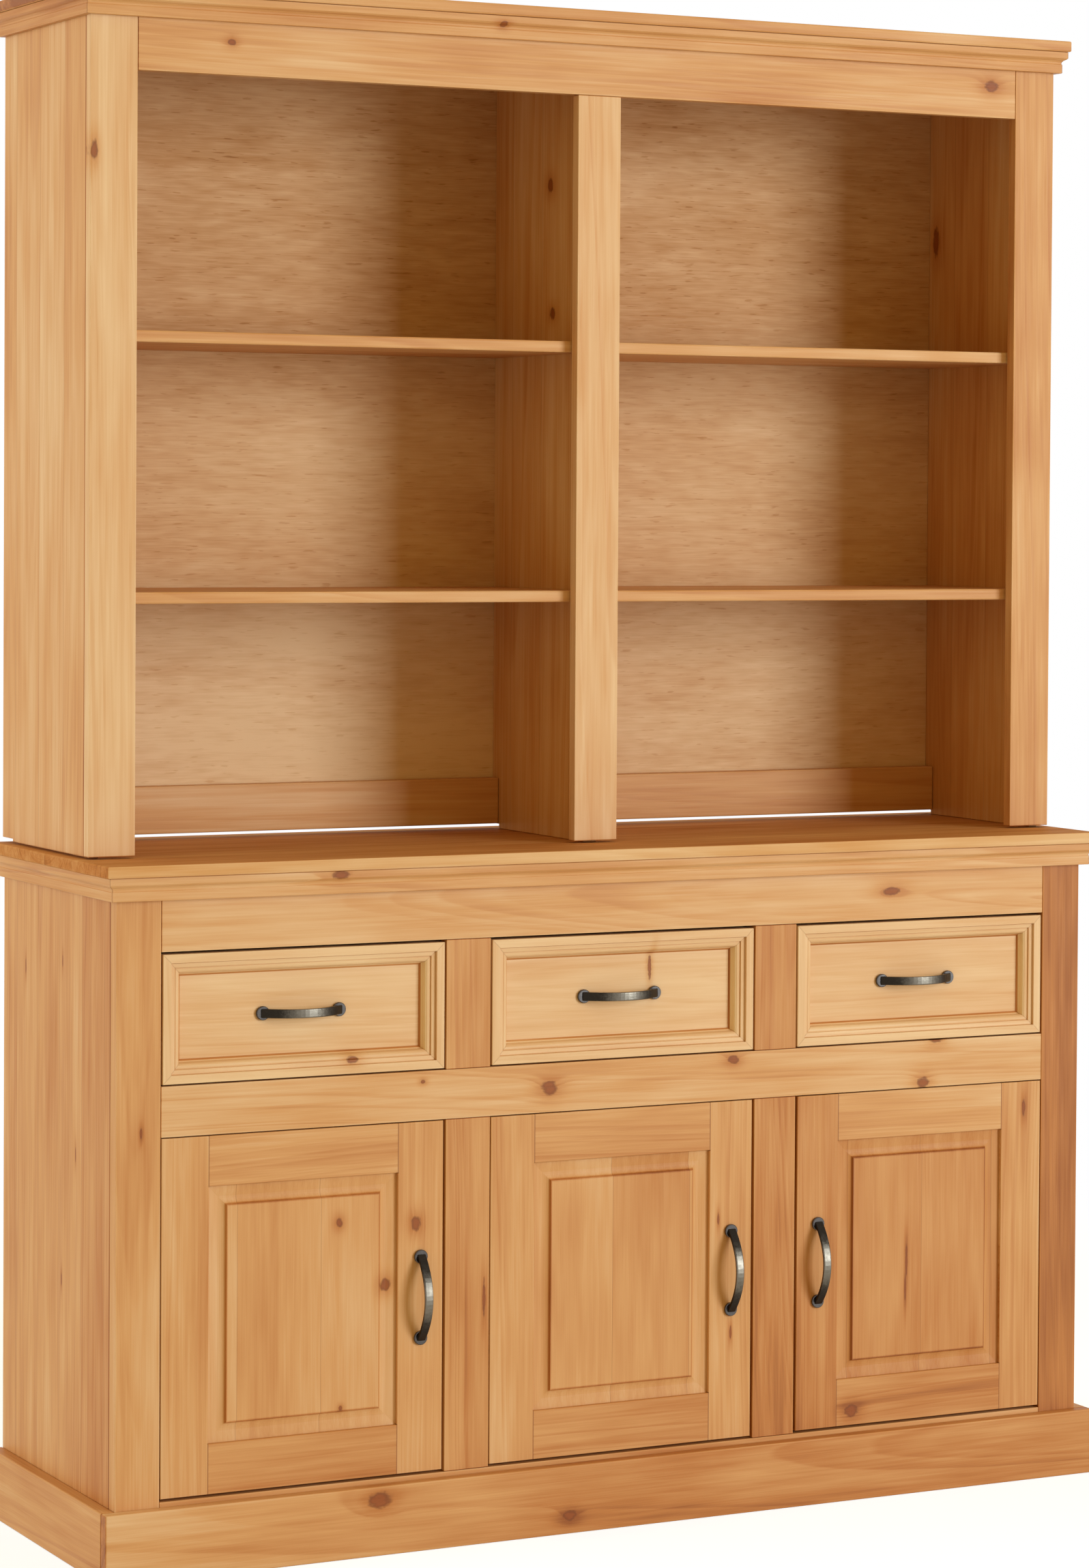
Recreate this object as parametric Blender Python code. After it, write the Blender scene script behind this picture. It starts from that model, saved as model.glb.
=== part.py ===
"""Pine sideboard with an open hutch: three doors, three drawers and six open compartments."""

import math

import bmesh
import bpy
from mathutils import Vector

# All sizes are in metres. Right is +X, the front is -Y, up is +Z and the floor is at zero.
# GAP is the joint line left between two pieces that meet.
GAP = 0.0003
WIDTH = 1.300
DEPTH = 0.381
HANDLE_REACH = 0.027

LEFT = -WIDTH / 2
RIGHT = WIDTH / 2
FACE = (HANDLE_REACH + GAP - DEPTH) / 2
BACK = FACE + DEPTH

# Base carcass
BAYS = 3
STILE_WIDTH = 0.054
POST_WIDTH = 0.0575
OPENING_WIDTH = (WIDTH - 2 * STILE_WIDTH - (BAYS - 1) * POST_WIDTH) / BAYS
FRAME_THICK = 0.019
SIDE_THICK = 0.018
PLY_THICK = 0.004
BOARD_THICK = 0.018
PLINTH_HEIGHT = 0.0815
PLINTH_OUT = 0.017
BOTTOM_TOP = 0.0867
MIDDLE_RAIL_LOW = 0.5047
DECK_TOP = 0.563
TOP_RAIL_LOW = 0.717
RIB_HEIGHT = 0.025
RIB_SET_IN = 0.0005
WORKTOP_TOP = 0.818
WORKTOP_THICK = 0.014
WORKTOP_OUT = 0.0175
EASE = 0.0006
BOARD_EASE = 0.0018

# Mouldings under the worktop and under the top board
MOULDING_HEIGHT = 0.0272
MOULDING_BAND = 0.0094
MOULDING_CURVE = 0.0063
WORKTOP_BAND_OUT = 0.0135
WORKTOP_FILLET_OUT = 0.0095
CORNICE_BAND_OUT = 0.0135
CORNICE_FILLET_OUT = 0.0080

# Hutch. Its frame and the outer edges of its sides stop at the foot height, a narrow gap above the
# worktop. The inner part of each side and the partition stand on the worktop.
HUTCH_FOOT = 0.821
FOOT_REBATE = 0.007
HUTCH_SET_BACK = 0.081
HUTCH_WIDER = 0.0045
HUTCH_BACK_SET_IN = 0.0065
HUTCH_FRAME_THICK = 0.015
HUTCH_STILE_WIDTH = 0.0572
HUTCH_POST_WIDTH = 0.0577
HUTCH_TOP_UNDER = 1.8153
HUTCH_RAIL_HEIGHT = 0.088
HUTCH_RAIL_LOW = HUTCH_TOP_UNDER - HUTCH_RAIL_HEIGHT
TOP_BOARD_THICK = 0.0135
TOP_BOARD_OUT = 0.0168
NOTCH_LENGTH = 0.036
NOTCH_TOP = 0.8242
OVERSHOOT = 0.01
HUTCH_PANEL_SET_IN = 0.0187
BACK_RAIL_THICK = 0.019
BACK_RAIL_LOW = 0.8248
BACK_RAIL_TOP = 0.883
# Each shelf's top stands at this share of the height from the hutch's foot to the top board.
SHELF_SHARES = {"lower": 0.30614, "upper": 0.61159}
SHELF_THICK = 0.0138
SHELF_SET_BACK = 0.003

# Drawers
DRAWER_SIDE_GAP = 0.0025
DRAWER_BOTTOM_GAP = 0.002
DRAWER_TOP_GAP = 0.0032
DRAWER_FRONT_THICK = 0.025
DRAWER_PANEL_SINK = 0.017
# The moulding round a drawer's panel, as (inset from the edge, depth): flat, step, band, bead, wall.
DRAWER_MOULDING = (
    (0.0100, 0.0),
    (0.0103, 0.0038),
    (0.0109, 0.0033),
    (0.0156, 0.0040),
    (0.0160, 0.0062),
    (0.0174, 0.0055),
    (0.0200, 0.0060),
    (0.0217, 0.0074),
    (0.0226, 0.0095),
    (0.0235, 0.0140),
    (0.0262, 0.0165),
)
BOX_SIDE_GAP = 0.003
BOX_LENGTH = 0.335
BOX_HEIGHT = 0.118
BOX_WALL = 0.012
BOX_FLOOR_LOW = 0.006
BOX_FLOOR_TOP = 0.013

# Doors
DOOR_HINGE_GAP = 0.0015
DOOR_FREE_GAP = 0.0035
DOOR_TOP_GAP = 0.0014
DOOR_BOTTOM_GAP = 0.0034
DOOR_STILE = 0.058
GROOVE_FRONT = 0.0045
GROOVE_BACK = 0.0130
GROOVE_DEPTH = 0.009
# Inside the frame a door panel has a margin, then a hollow that rises to the raised field.
PANEL_MARGIN = 0.0130
PANEL_MARGIN_SINK = 0.0062
PANEL_HOLLOW = 0.0095
PANEL_HOLLOW_STEPS = 6
PANEL_SHOULDER = 0.0008
PANEL_FIELD_SINK = 0.0012
PANEL_BACK = 0.0127
TONGUE_PLAY = 0.0006

# Cup hinges
CUP_RADIUS = 0.0175
CUP_DEPTH = 0.011
CUP_FROM_EDGE = 0.0225
CUP_FROM_END = 0.085
CUP_PLAY = 0.0003
FLANGE_HALF_HEIGHT = 0.026
FLANGE_HALF_WIDTH = 0.006
FLANGE_THICK = 0.0015
ARM_HALF_HEIGHT = 0.007
ARM_THICK = 0.010
ARM_BEHIND_STILE = 0.012
ARM_REACH = 0.036

# Handles
SCREW_SPACING = 0.096
FOOT_RADIUS = 0.00825
FOOT_HEIGHT = 0.0038
STRAP_WIDTH = 0.0105
STRAP_THICK = 0.0040
STRAP_ROOT = 0.0045
RING_POINTS = 20
STRAP_STEPS = 20
SMOOTH_ANGLE = math.radians(38)

# Colours are linear, and each finish is a colour, a roughness and a metallic value.
FRAME_PINE = ((0.600, 0.300, 0.115), 0.42, 0.0)
SIDE_PINE = ((0.560, 0.300, 0.135), 0.45, 0.0)
FRONT_PINE = ((0.700, 0.420, 0.190), 0.40, 0.0)
INNER_PINE = ((0.480, 0.220, 0.080), 0.50, 0.0)
PLY_PINE = ((0.420, 0.180, 0.062), 0.50, 0.0)
BOX_PINE = ((0.620, 0.400, 0.210), 0.60, 0.0)
PEWTER = ((0.120, 0.108, 0.098), 0.38, 0.9)
PLATED_STEEL = ((0.560, 0.550, 0.530), 0.30, 1.0)


def skin(rings, closed=False):
    """A closed body through rings of equal point count: capped at both ends, or joined into a loop."""
    body = bmesh.new()
    loops = [[body.verts.new(point) for point in ring] for ring in rings]
    pairs = list(zip(loops, loops[1:]))
    if closed:
        pairs.append((loops[-1], loops[0]))
    else:
        body.faces.new(loops[0])
        body.faces.new(loops[-1])
    for near, far in pairs:
        for here in range(len(near)):
            after = (here + 1) % len(near)
            body.faces.new((near[here], near[after], far[after], far[here]))
    bmesh.ops.recalc_face_normals(body, faces=body.faces)
    mesh = bpy.data.meshes.new("body")
    body.to_mesh(mesh)
    body.free()
    return mesh


def rectangle(low, high, inset, depth):
    """Corners of an upright rectangle in XZ, drawn in by inset, at the given Y."""
    return [
        (low[0] + inset, depth, low[1] + inset),
        (high[0] - inset, depth, low[1] + inset),
        (high[0] - inset, depth, high[1] - inset),
        (low[0] + inset, depth, high[1] - inset),
    ]


def smooth(mesh):
    mesh.shade_smooth()
    mesh.set_sharp_from_angle(angle=SMOOTH_ANGLE)
    return mesh


def place(name, mesh, finish, parent=None, location=(0, 0, 0), turn=0.0):
    """Adds one piece of the sideboard, with a material of its own."""
    colour, roughness, metallic = finish
    material = bpy.data.materials.new(name)
    material.use_nodes = True
    shader = material.node_tree.nodes["Principled BSDF"]
    shader.inputs["Base Color"].default_value = (*colour, 1.0)
    shader.inputs["Roughness"].default_value = roughness
    shader.inputs["Metallic"].default_value = metallic
    piece = bpy.data.objects.new(name, mesh)
    bpy.context.scene.collection.objects.link(piece)
    if not mesh.materials:
        mesh.materials.append(None)
    piece.material_slots[0].link = "OBJECT"
    piece.material_slots[0].material = material
    piece.parent = parent
    piece.location = location
    piece.rotation_euler = (0.0, turn, 0.0)
    return piece


def ease(piece, width):
    """Rounds the arrises of a board by a small radius."""
    bevel = piece.modifiers.new("eased arrises", "BEVEL")
    bevel.width = width
    bevel.segments = 2
    bevel.limit_method = "ANGLE"


def board(name, x, y, z, finish, arris=EASE):
    """A plain board between two values on each axis."""
    low = (x[0], z[0])
    high = (x[1], z[1])
    rings = [rectangle(low, high, 0.0, depth) for depth in y]
    piece = place(name, skin(rings), finish)
    ease(piece, arris)
    return piece


def prism(name, outline, spread, finish):
    """A section drawn out straight: outline holds one ring of points for each value in spread."""
    piece = place(name, skin([outline(value) for value in spread]), finish)
    ease(piece, EASE)
    return piece


def helper(mesh):
    """An unseen solid for a Boolean."""
    unseen = bpy.data.objects.new("helper", mesh)
    bpy.context.scene.collection.objects.link(unseen)
    unseen.hide_render = True
    unseen.display_type = "WIRE"
    return unseen


def combined(mesh, operation, others):
    """The mesh after each of the others has been joined to it or cut from it."""
    whole = helper(mesh)
    for other in others:
        step = whole.modifiers.new(operation, "BOOLEAN")
        step.object = helper(other)
        step.operation = operation
        step.solver = "EXACT"
    bpy.context.view_layer.update()
    graph = bpy.context.evaluated_depsgraph_get()
    result = bpy.data.meshes.new_from_object(whole.evaluated_get(graph))
    for used in [step.object for step in whole.modifiers] + [whole]:
        bpy.data.objects.remove(used, do_unlink=True)
    return result


def cylinder(centre, radius, near, far, points=40):
    """A round bar lying along Y."""
    turns = [2 * math.pi * step / points for step in range(points)]
    rings = [
        [(centre[0] + radius * math.cos(turn), y, centre[1] + radius * math.sin(turn)) for turn in turns]
        for y in (near, far)
    ]
    return skin(rings)


def box(x, y, z):
    return skin([rectangle((x[0], z[0]), (x[1], z[1]), 0.0, depth) for depth in y])


def moulding_section(band_out, fillet_out):
    """Section of a moulding as (distance out, drop): band, hollow below it, then a lower fillet."""
    lip = MOULDING_BAND
    foot = MOULDING_BAND + MOULDING_CURVE
    fall = band_out - fillet_out
    return [
        (GAP, GAP),
        (band_out - EASE, GAP),
        (band_out, GAP + EASE),
        (band_out, lip - 2 * EASE),
        (band_out - 0.10 * fall, lip - EASE),
        (band_out - 0.35 * fall, lip + 0.10 * MOULDING_CURVE),
        (band_out - 0.80 * fall, lip + 0.30 * MOULDING_CURVE),
        (fillet_out - 0.10 * fall, lip + 0.60 * MOULDING_CURVE),
        (fillet_out - 0.15 * fall, foot - EASE),
        (fillet_out - EASE, foot),
        (fillet_out, foot + EASE),
        (fillet_out, MOULDING_HEIGHT - EASE),
        (fillet_out - EASE, MOULDING_HEIGHT),
        (GAP, MOULDING_HEIGHT),
    ]


def moulding(name, section, reach, face, back, top, finish):
    """A moulding mitred round the front and both ends of a carcass that spans reach to each side."""
    stations = [(-reach, back, -1, 0), (-reach, face, -1, -1), (reach, face, 1, -1), (reach, back, 1, 0)]
    rings = [
        [(x + side * out, y + front * out, top - drop) for out, drop in section]
        for x, y, side, front in stations
    ]
    return place(name, skin(rings), finish)


def bay_left(number):
    """Left edge of a base opening, counted from nought."""
    return LEFT + STILE_WIDTH + number * (OPENING_WIDTH + POST_WIDTH)


def behind(face, thickness):
    return (face, face + thickness)


def clear(low, high):
    """The span between two surfaces, less a joint line at each end."""
    return (low + GAP, high - GAP)


def base_carcass():
    frame_y = behind(FACE, FRAME_THICK)
    inner_y = FACE + FRAME_THICK + GAP
    under_worktop = WORKTOP_TOP - WORKTOP_THICK - GAP
    back_front = BACK - PLY_THICK
    outer = (LEFT - PLINTH_OUT, RIGHT + PLINTH_OUT)
    plinth_z = (0.0, PLINTH_HEIGHT)
    board("plinth_front", outer, (FACE - PLINTH_OUT, FACE - GAP), plinth_z, FRAME_PINE, BOARD_EASE)
    side_y = (FACE, BACK)
    board("plinth_left", (outer[0], LEFT - GAP), side_y, plinth_z, SIDE_PINE, BOARD_EASE)
    board("plinth_right", (RIGHT + GAP, outer[1]), side_y, plinth_z, SIDE_PINE, BOARD_EASE)

    carcass_z = (0.0, under_worktop)
    board("base_side_left", (LEFT, LEFT + SIDE_THICK), (inner_y, BACK), carcass_z, SIDE_PINE)
    board("base_side_right", (RIGHT - SIDE_THICK, RIGHT), (inner_y, BACK), carcass_z, SIDE_PINE)
    board("base_stile_left", (LEFT, LEFT + STILE_WIDTH), frame_y, carcass_z, FRAME_PINE)
    board("base_stile_right", (RIGHT - STILE_WIDTH, RIGHT), frame_y, carcass_z, FRAME_PINE)

    between_stiles = clear(LEFT + STILE_WIDTH, RIGHT - STILE_WIDTH)
    board("base_top_rail", between_stiles, frame_y, (TOP_RAIL_LOW, under_worktop), FRAME_PINE)
    board("base_middle_rail", between_stiles, frame_y, (MIDDLE_RAIL_LOW, DECK_TOP), FRAME_PINE)
    divider_z = clear(DECK_TOP, TOP_RAIL_LOW)
    post_z = clear(BOTTOM_TOP, MIDDLE_RAIL_LOW)
    deck_under = DECK_TOP - BOARD_THICK
    partition_z = clear(BOTTOM_TOP, deck_under)
    inner = clear(LEFT + SIDE_THICK, RIGHT - SIDE_THICK)
    for number, side in ((1, "left"), (2, "right")):
        edge = bay_left(number) - POST_WIDTH
        centre = edge + POST_WIDTH / 2
        post_x = (edge, edge + POST_WIDTH)
        board(f"drawer_divider_{side}", post_x, frame_y, divider_z, FRAME_PINE)
        board(f"door_post_{side}", post_x, frame_y, post_z, FRAME_PINE)
        wall = (centre - BOARD_THICK / 2, centre + BOARD_THICK / 2)
        wall_y = clear(FACE + FRAME_THICK, back_front)
        board(f"cupboard_partition_{side}", wall, wall_y, partition_z, INNER_PINE)

    def bottom_outline(z):
        return [
            (between_stiles[0], FACE, z),
            (between_stiles[1], FACE, z),
            (between_stiles[1], inner_y, z),
            (inner[1], inner_y, z),
            (inner[1], back_front - GAP, z),
            (inner[0], back_front - GAP, z),
            (inner[0], inner_y, z),
            (between_stiles[0], inner_y, z),
        ]

    prism("base_bottom_board", bottom_outline, (BOTTOM_TOP - BOARD_THICK, BOTTOM_TOP), FRAME_PINE)
    back_z = (BOTTOM_TOP - BOARD_THICK, under_worktop)
    board("base_back_panel", inner, (back_front, BACK), back_z, PLY_PINE)

    def deck_outline(y):
        rib_top = DECK_TOP + RIB_HEIGHT
        points = [(inner[0], y, deck_under), (inner[1], y, deck_under), (inner[1], y, rib_top)]
        for number in reversed(range(BAYS)):
            left = bay_left(number) - RIB_SET_IN
            right = bay_left(number) + OPENING_WIDTH + RIB_SET_IN
            points.append((right, y, rib_top))
            points.append((right, y, DECK_TOP))
            points.append((left, y, DECK_TOP))
            points.append((left, y, rib_top))
        points.append((inner[0], y, rib_top))
        return points

    prism("drawer_deck", deck_outline, clear(FACE + FRAME_THICK, back_front), INNER_PINE)
    top_x = (LEFT - WORKTOP_OUT, RIGHT + WORKTOP_OUT)
    top_z = (WORKTOP_TOP - WORKTOP_THICK, WORKTOP_TOP)
    board("worktop_board", top_x, (FACE - WORKTOP_OUT, BACK), top_z, FRAME_PINE, BOARD_EASE)
    section = moulding_section(WORKTOP_BAND_OUT, WORKTOP_FILLET_OUT)
    under = WORKTOP_TOP - WORKTOP_THICK
    moulding("worktop_moulding", section, RIGHT, FACE, BACK, under, FRAME_PINE)


def hutch():
    face = FACE + HUTCH_SET_BACK
    back = BACK - HUTCH_BACK_SET_IN
    reach = RIGHT + HUTCH_WIDER
    frame_y = behind(face, HUTCH_FRAME_THICK)
    inner_y = face + HUTCH_FRAME_THICK + GAP
    floor = WORKTOP_TOP + GAP
    under_top = HUTCH_TOP_UNDER - GAP
    panel_front = back - PLY_THICK - HUTCH_PANEL_SET_IN
    full_z = (HUTCH_FOOT, under_top)
    below = floor - OVERSHOOT
    notch_y = (back - NOTCH_LENGTH, back + OVERSHOOT)
    for side, outside in (("left", -1), ("right", 1)):
        side_x = sorted((outside * reach, outside * (reach - SIDE_THICK)))
        rebate_x = sorted((outside * (reach - FOOT_REBATE), outside * (reach + OVERSHOOT)))
        notch_x = (side_x[0] - OVERSHOOT, side_x[1] + OVERSHOOT)
        whole = box(side_x, (inner_y, back), (floor, under_top))
        rebate = box(rebate_x, (inner_y - OVERSHOOT, back + OVERSHOOT), (below, HUTCH_FOOT))
        notch = box(notch_x, notch_y, (below, NOTCH_TOP))
        piece = place(f"hutch_side_{side}", combined(whole, "DIFFERENCE", [rebate, notch]), SIDE_PINE)
        ease(piece, EASE)
    board("hutch_stile_left", (-reach, HUTCH_STILE_WIDTH - reach), frame_y, full_z, FRAME_PINE)
    board("hutch_stile_right", (reach - HUTCH_STILE_WIDTH, reach), frame_y, full_z, FRAME_PINE)
    post_x = (-HUTCH_POST_WIDTH / 2, HUTCH_POST_WIDTH / 2)
    board("hutch_stile_centre", post_x, frame_y, (HUTCH_FOOT, HUTCH_RAIL_LOW - GAP), FRAME_PINE)
    between = clear(HUTCH_STILE_WIDTH - reach, reach - HUTCH_STILE_WIDTH)
    board("hutch_top_rail", between, frame_y, (HUTCH_RAIL_LOW, under_top), FRAME_PINE)
    wall_x = (-BOARD_THICK / 2, BOARD_THICK / 2)

    def partition_outline(x):
        return [
            (x, inner_y, floor),
            (x, panel_front - BACK_RAIL_THICK, floor),
            (x, panel_front - BACK_RAIL_THICK, NOTCH_TOP),
            (x, panel_front - GAP, NOTCH_TOP),
            (x, panel_front - GAP, under_top),
            (x, inner_y, under_top),
        ]

    prism("hutch_partition", partition_outline, wall_x, INNER_PINE)
    inner = clear(SIDE_THICK - reach, reach - SIDE_THICK)
    panel_y = behind(panel_front, PLY_THICK)
    board("hutch_back_panel", inner, panel_y, (BACK_RAIL_LOW, under_top), PLY_PINE)

    bays = {"left": (inner[0], wall_x[0] - GAP), "right": (wall_x[1] + GAP, inner[1])}
    rail_y = (panel_front - BACK_RAIL_THICK, panel_front - GAP)
    rail_z = (BACK_RAIL_LOW, BACK_RAIL_TOP)
    shelf_y = (face + HUTCH_FRAME_THICK + SHELF_SET_BACK, panel_front - GAP)
    for side, span in bays.items():
        board(f"hutch_back_rail_{side}", span, rail_y, rail_z, INNER_PINE, BOARD_EASE)
        for level, share in SHELF_SHARES.items():
            top = HUTCH_FOOT + share * (HUTCH_TOP_UNDER - HUTCH_FOOT)
            board(f"shelf_{level}_{side}", span, shelf_y, (top - SHELF_THICK, top), FRAME_PINE, BOARD_EASE)

    top_x = (-reach - TOP_BOARD_OUT, reach + TOP_BOARD_OUT)
    top_z = (HUTCH_TOP_UNDER, HUTCH_TOP_UNDER + TOP_BOARD_THICK)
    board("hutch_top_board", top_x, (face - TOP_BOARD_OUT, back), top_z, FRAME_PINE, BOARD_EASE)
    section = moulding_section(CORNICE_BAND_OUT, CORNICE_FILLET_OUT)
    moulding("cornice_moulding", section, reach, face, back, HUTCH_TOP_UNDER, FRAME_PINE)


def handle_mesh():
    """A bow handle lying along X, with its feet on the XZ plane and its strap bowed towards -Y."""
    half = SCREW_SPACING / 2
    rise = HANDLE_REACH - STRAP_THICK / 2 - STRAP_ROOT
    angles = [2 * math.pi * step / RING_POINTS for step in range(RING_POINTS)]

    def disc(centre, radius, out):
        return [
            Vector((centre + radius * math.cos(angle), -out, radius * math.sin(angle))) for angle in angles
        ]

    def strap(along):
        slope = -2 * rise * along / half**2
        out = STRAP_ROOT + rise * (1 - (along / half) ** 2)
        across = Vector((slope, 1.0, 0.0)).normalized()
        ring = []
        for angle in angles:
            flat = math.copysign(abs(math.cos(angle)) ** 0.5, math.cos(angle)) * STRAP_THICK / 2
            wide = math.copysign(abs(math.sin(angle)) ** 0.3, math.sin(angle)) * STRAP_WIDTH / 2
            ring.append(Vector((along, -out, wide)) + across * flat)
        return ring

    foot = [
        (FOOT_RADIUS - 0.0004, 0.0),
        (FOOT_RADIUS, 0.0005),
        (FOOT_RADIUS, FOOT_HEIGHT - 0.0008),
        (FOOT_RADIUS - 0.0007, FOOT_HEIGHT),
    ]
    near = [disc(-half, radius, out) for radius, out in foot]
    far = [[Vector((-point.x, point.y, point.z)) for point in ring] for ring in near]
    body = bmesh.new()
    for rings in (near, far):
        part = skin(rings)
        body.from_mesh(part)
        bpy.data.meshes.remove(part)
    feet = bpy.data.meshes.new("feet")
    body.to_mesh(feet)
    body.free()
    reach = half + STRAP_THICK * 0.4
    stations = [-reach + 2 * reach * step / STRAP_STEPS for step in range(STRAP_STEPS + 1)]
    bow = skin([strap(along) for along in stations])
    return smooth(combined(bow, "UNION", [feet]))


def hinge_mesh(side):
    """The cup, flange and arm of a cup hinge; side is 1 when the door's width runs towards +X."""
    middle = side * CUP_FROM_EDGE
    outside = FRAME_THICK + GAP
    cup = cylinder((middle, 0.0), CUP_RADIUS, FRAME_THICK - CUP_DEPTH, outside + FLANGE_THICK / 2)
    flange_x = (middle - FLANGE_HALF_WIDTH, middle + FLANGE_HALF_WIDTH)
    flange_z = (-FLANGE_HALF_HEIGHT, FLANGE_HALF_HEIGHT)
    flange = box(flange_x, (outside, outside + FLANGE_THICK), flange_z)
    arm_x = sorted((-side * ARM_BEHIND_STILE, side * ARM_REACH))
    arm = box(arm_x, (outside, outside + ARM_THICK), (-ARM_HALF_HEIGHT, ARM_HALF_HEIGHT))
    return smooth(combined(cup, "UNION", [flange, arm]))


def panel_hollow(start):
    """The hollow of a door panel as (inset, depth): level where it starts, and steepest at the field."""
    rise = PANEL_MARGIN_SINK - PANEL_SHOULDER - PANEL_FIELD_SINK
    turns = [math.radians(90) * step / PANEL_HOLLOW_STEPS for step in range(PANEL_HOLLOW_STEPS + 1)]
    return [
        (start + PANEL_HOLLOW * math.sin(turn), PANEL_MARGIN_SINK - rise * (1 - math.cos(turn)))
        for turn in turns
    ]


def door(number, handle, hinge, side):
    """One door on an empty that stands on its hinge line; side is 1 for a door hinged on its left."""
    left = bay_left(number - 1)
    hinge_x = left + DOOR_HINGE_GAP if side > 0 else left + OPENING_WIDTH - DOOR_HINGE_GAP
    width = OPENING_WIDTH - DOOR_HINGE_GAP - DOOR_FREE_GAP
    door_low = BOTTOM_TOP + DOOR_BOTTOM_GAP
    door_high = MIDDLE_RAIL_LOW - DOOR_TOP_GAP
    half = (door_high - door_low) / 2
    middle = (door_high + door_low) / 2
    axis = bpy.data.objects.new(f"door_axis_{number}", None)
    axis.location = (hinge_x, FACE, middle)
    bpy.context.scene.collection.objects.link(axis)

    low_x, high_x = sorted((0.0, side * width))
    low = (low_x, -half)
    high = (high_x, half)
    section = [
        (0.0, EASE),
        (EASE, 0.0),
        (DOOR_STILE - EASE, 0.0),
        (DOOR_STILE, EASE),
        (DOOR_STILE, GROOVE_FRONT),
        (DOOR_STILE - GROOVE_DEPTH, GROOVE_FRONT),
        (DOOR_STILE - GROOVE_DEPTH, GROOVE_BACK),
        (DOOR_STILE, GROOVE_BACK),
        (DOOR_STILE, FRAME_THICK - EASE),
        (DOOR_STILE - EASE, FRAME_THICK),
        (EASE, FRAME_THICK),
        (0.0, FRAME_THICK - EASE),
    ]
    rings = [rectangle(low, high, inset, depth) for inset, depth in section]
    cup_rise = half - CUP_FROM_END
    bore = (FRAME_THICK - CUP_DEPTH - CUP_PLAY, FRAME_THICK + CUP_PLAY)
    bores = [
        cylinder((side * CUP_FROM_EDGE, height), CUP_RADIUS + CUP_PLAY, *bore)
        for height in (-cup_rise, cup_rise)
    ]
    frame = combined(skin(rings, closed=True), "DIFFERENCE", bores)
    place(f"door_frame_{number}", frame, FRAME_PINE, axis)

    tongue = DOOR_STILE - GROOVE_DEPTH + TONGUE_PLAY
    shape = [
        (tongue, PANEL_BACK),
        (tongue, GROOVE_FRONT + GAP),
        (DOOR_STILE + GAP, GROOVE_FRONT + GAP),
        *panel_hollow(DOOR_STILE + PANEL_MARGIN),
        (DOOR_STILE + PANEL_MARGIN + PANEL_HOLLOW + GAP, PANEL_FIELD_SINK),
    ]
    panel_rings = [rectangle(low, high, inset, depth) for inset, depth in shape]
    place(f"door_panel_{number}", skin(panel_rings), FRONT_PINE, axis)
    handle_x = side * (width - DOOR_STILE / 2)
    quarter = math.radians(90)
    place(f"door_handle_{number}", handle, PEWTER, axis, (handle_x, -GAP, 0.0), quarter)
    place(f"door_hinge_upper_{number}", hinge, PLATED_STEEL, axis, (0.0, 0.0, cup_rise))
    place(f"door_hinge_lower_{number}", hinge, PLATED_STEEL, axis, (0.0, 0.0, -cup_rise))


def drawer(number, handle):
    """One drawer on an empty that stands at the middle of its face."""
    left = bay_left(number - 1)
    front_low = DECK_TOP + DRAWER_BOTTOM_GAP
    front_high = TOP_RAIL_LOW - DRAWER_TOP_GAP
    middle = (front_low + front_high) / 2
    axis = bpy.data.objects.new(f"drawer_axis_{number}", None)
    axis.location = (left + OPENING_WIDTH / 2, FACE, middle)
    bpy.context.scene.collection.objects.link(axis)

    half_width = OPENING_WIDTH / 2 - DRAWER_SIDE_GAP
    half_height = (front_high - front_low) / 2
    low = (-half_width, -half_height)
    high = (half_width, half_height)
    profile = [(0.0, DRAWER_FRONT_THICK), (0.0, EASE), (EASE, 0.0), *DRAWER_MOULDING]
    profile.append((DRAWER_MOULDING[-1][0], DRAWER_PANEL_SINK))
    rings = [rectangle(low, high, inset, depth) for inset, depth in profile]
    place(f"drawer_front_{number}", skin(rings), FRONT_PINE, axis)

    box_half = OPENING_WIDTH / 2 - BOX_SIDE_GAP
    near = DRAWER_FRONT_THICK + GAP
    far = near + BOX_LENGTH
    base = DECK_TOP + GAP - middle

    def level(inset, height):
        corners = ((-1, near + inset), (1, near + inset), (1, far - inset), (-1, far - inset))
        return [(side * (box_half - inset), y, base + height) for side, y in corners]

    tray = [
        level(BOX_WALL, BOX_FLOOR_LOW),
        level(BOX_WALL, 0.0),
        level(0.0, 0.0),
        level(0.0, BOX_HEIGHT - EASE),
        level(EASE, BOX_HEIGHT),
        level(BOX_WALL - EASE, BOX_HEIGHT),
        level(BOX_WALL, BOX_HEIGHT - EASE),
        level(BOX_WALL, BOX_FLOOR_TOP),
    ]
    place(f"drawer_box_{number}", skin(tray), BOX_PINE, axis)
    place(f"drawer_handle_{number}", handle, PEWTER, axis, (0.0, DRAWER_PANEL_SINK - GAP, 0.0))


def build():
    for existing in list(bpy.data.objects):
        bpy.data.objects.remove(existing, do_unlink=True)
    base_carcass()
    hutch()
    handle = handle_mesh()
    hinges = {side: hinge_mesh(side) for side in (1, -1)}
    for number, side in ((1, 1), (2, 1), (3, -1)):
        drawer(number, handle)
        door(number, handle, hinges[side], side)


build()
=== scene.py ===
# %% [markdown]
# # A waxed pine dresser
# The real piece is a dresser in solid pine. A low base holds three drawers and three doors,
# and an open hutch with six compartments stands on its worktop.
# Every board was already cut to size in a CAD model. This script could build the boards again,
# but loading that model as a fixed frame keeps one set of sizes for the drawings and the picture.

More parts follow.
